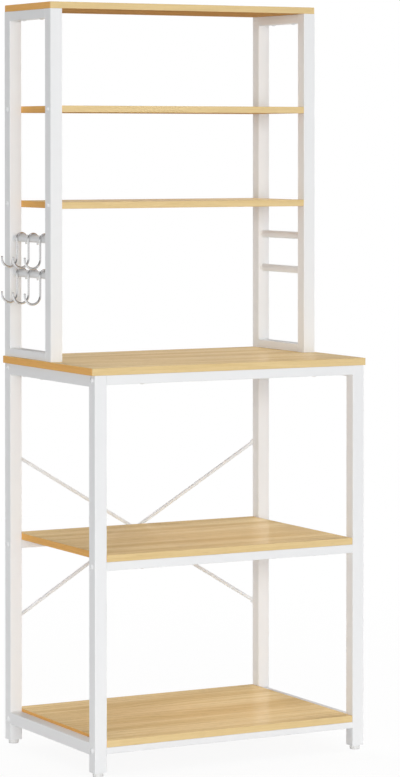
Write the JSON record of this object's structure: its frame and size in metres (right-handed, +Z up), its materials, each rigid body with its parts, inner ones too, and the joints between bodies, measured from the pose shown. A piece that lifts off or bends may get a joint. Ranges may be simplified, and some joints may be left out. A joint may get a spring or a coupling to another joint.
{
  "type": "kitchen rack",
  "caption": "Free-standing kitchen rack with a hutch, white square-tube frames, oak boards, round hook bars with S-hooks, crossed rear braces and screw feet.",
  "frame": {"origin": "On the floor, under the middle of the whole rack's box, hooks and rear braces included.", "axes": "+Z is up, +X is the rack's right seen from the front, and the front faces -Y."},
  "size_m": [0.6276, 0.4145, 1.465],
  "materials": {
    "frame_paint": "satin white powder coat",
    "board": "light oak, satin, grain along the width",
    "hook_wire": "bright plated wire",
    "foot_plastic": "pale moulded plastic",
    "bolt": "zinc plated",
    "inner_steel": "zinc plated"
  },
  "bodies": {
    "rack": {"lower_left_front_post": "frame_paint", "lower_left_rear_post": "frame_paint", "lower_right_front_post": "frame_paint", "lower_right_rear_post": "frame_paint", "hutch_left_front_post": "frame_paint", "hutch_left_rear_post": "frame_paint", "hutch_right_front_post": "frame_paint", "hutch_right_rear_post": "frame_paint", "lower_left_top_bar": "frame_paint", "lower_left_bottom_bar": "frame_paint", "lower_right_top_bar": "frame_paint", "lower_right_bottom_bar": "frame_paint", "hutch_left_top_bar": "frame_paint", "hutch_left_bottom_bar": "frame_paint", "hutch_right_top_bar": "frame_paint", "hutch_right_bottom_bar": "frame_paint", "hutch_left_upper_hook_bar": "frame_paint", "hutch_left_lower_hook_bar": "frame_paint", "hutch_right_upper_hook_bar": "frame_paint", "hutch_right_lower_hook_bar": "frame_paint", "counter_front_rail": "frame_paint", "counter_rear_rail": "frame_paint", "middle_front_rail": "frame_paint", "middle_rear_rail": "frame_paint", "bottom_front_rail": "frame_paint", "bottom_rear_rail": "frame_paint", "falling_brace": "frame_paint", "rising_brace": "frame_paint", "rail_bolts": "frame_paint", "shelf_bolts": "frame_paint", "top_board": "board", "upper_shelf": "board", "lower_shelf": "board", "counter_board": "board", "middle_shelf": "board", "bottom_shelf": "board", "foot_inserts": "foot_plastic", "hutch_bolts": "bolt", "brace_screws": "bolt", "top_board_screws": "bolt", "counter_screws": "bolt", "middle_shelf_screws": "bolt", "bottom_shelf_screws": "bolt", "rail_end_plugs": "inner_steel", "shelf_inserts": "inner_steel", "hutch_weld_nuts": "inner_steel", "brace_weld_nuts": "inner_steel"},
    "upper_front_hook_body": {"upper_front_hook": "hook_wire"},
    "upper_middle_hook_body": {"upper_middle_hook": "hook_wire"},
    "upper_rear_hook_body": {"upper_rear_hook": "hook_wire"},
    "lower_front_hook_body": {"lower_front_hook": "hook_wire"},
    "lower_middle_hook_body": {"lower_middle_hook": "hook_wire"},
    "lower_rear_hook_body": {"lower_rear_hook": "hook_wire"},
    "foot_left_front_body": {"foot_left_front": "foot_plastic"},
    "foot_left_rear_body": {"foot_left_rear": "foot_plastic"},
    "foot_right_front_body": {"foot_right_front": "foot_plastic"},
    "foot_right_rear_body": {"foot_right_rear": "foot_plastic"}
  },
  "joints": [
    {"name": "upper_front_hook_slide", "type": "slide", "parent": "rack", "child": "upper_front_hook_body", "axis": [0, 1, 0], "range_m": [-0.022, 0.022]},
    {"name": "upper_middle_hook_slide", "type": "slide", "parent": "rack", "child": "upper_middle_hook_body", "axis": [0, 1, 0], "range_m": [-0.022, 0.022]},
    {"name": "upper_rear_hook_slide", "type": "slide", "parent": "rack", "child": "upper_rear_hook_body", "axis": [0, 1, 0], "range_m": [-0.022, 0.022]},
    {"name": "lower_front_hook_slide", "type": "slide", "parent": "rack", "child": "lower_front_hook_body", "axis": [0, 1, 0], "range_m": [-0.022, 0.022]},
    {"name": "lower_middle_hook_slide", "type": "slide", "parent": "rack", "child": "lower_middle_hook_body", "axis": [0, 1, 0], "range_m": [-0.022, 0.022]},
    {"name": "lower_rear_hook_slide", "type": "slide", "parent": "rack", "child": "lower_rear_hook_body", "axis": [0, 1, 0], "range_m": [-0.022, 0.022]},
    {"name": "foot_left_front_screw", "type": "slide", "parent": "rack", "child": "foot_left_front_body", "axis": [0, 0, -1], "range_m": [0, 0.01]},
    {"name": "foot_left_rear_screw", "type": "slide", "parent": "rack", "child": "foot_left_rear_body", "axis": [0, 0, -1], "range_m": [0, 0.01]},
    {"name": "foot_right_front_screw", "type": "slide", "parent": "rack", "child": "foot_right_front_body", "axis": [0, 0, -1], "range_m": [0, 0.01]},
    {"name": "foot_right_rear_screw", "type": "slide", "parent": "rack", "child": "foot_right_rear_body", "axis": [0, 0, -1], "range_m": [0, 0.01]}
  ]
}
